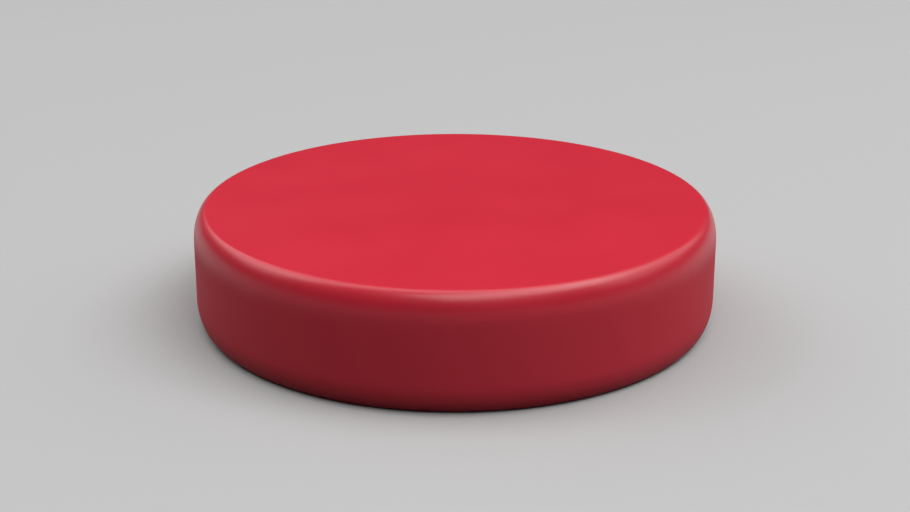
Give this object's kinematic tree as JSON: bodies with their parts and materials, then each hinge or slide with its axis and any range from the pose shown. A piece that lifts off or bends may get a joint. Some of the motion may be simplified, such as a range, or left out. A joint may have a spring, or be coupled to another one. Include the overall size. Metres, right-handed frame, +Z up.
{
  "type": "checkers piece",
  "caption": "Plain round checkers piece: a moulded red disc with rounded edges and flat faces, weighted inside and closed by a snap-in base disc, that slides and stacks on a board.",
  "frame": {"origin": "centre of the underside, in the plane that the piece stands on", "axes": "+Z up along the disc's axis, out of the plain top face; +X through the middle of one locating rib inside"},
  "size_m": [0.0318, 0.0318, 0.0071],
  "materials": {
    "red_plastic": "moulded crimson red, polished on the faces and the rounded edges, a little duller round the side",
    "red_plastic_satin": "the same crimson red, with the fine even texture of an underside",
    "plain_steel": "blanked plate, uncoated, faint rolling grain"
  },
  "bodies": {
    "root": {"body_cup": "red_plastic", "base_disc": "red_plastic_satin", "steel_weight": "plain_steel"}
  },
  "joints": []
}
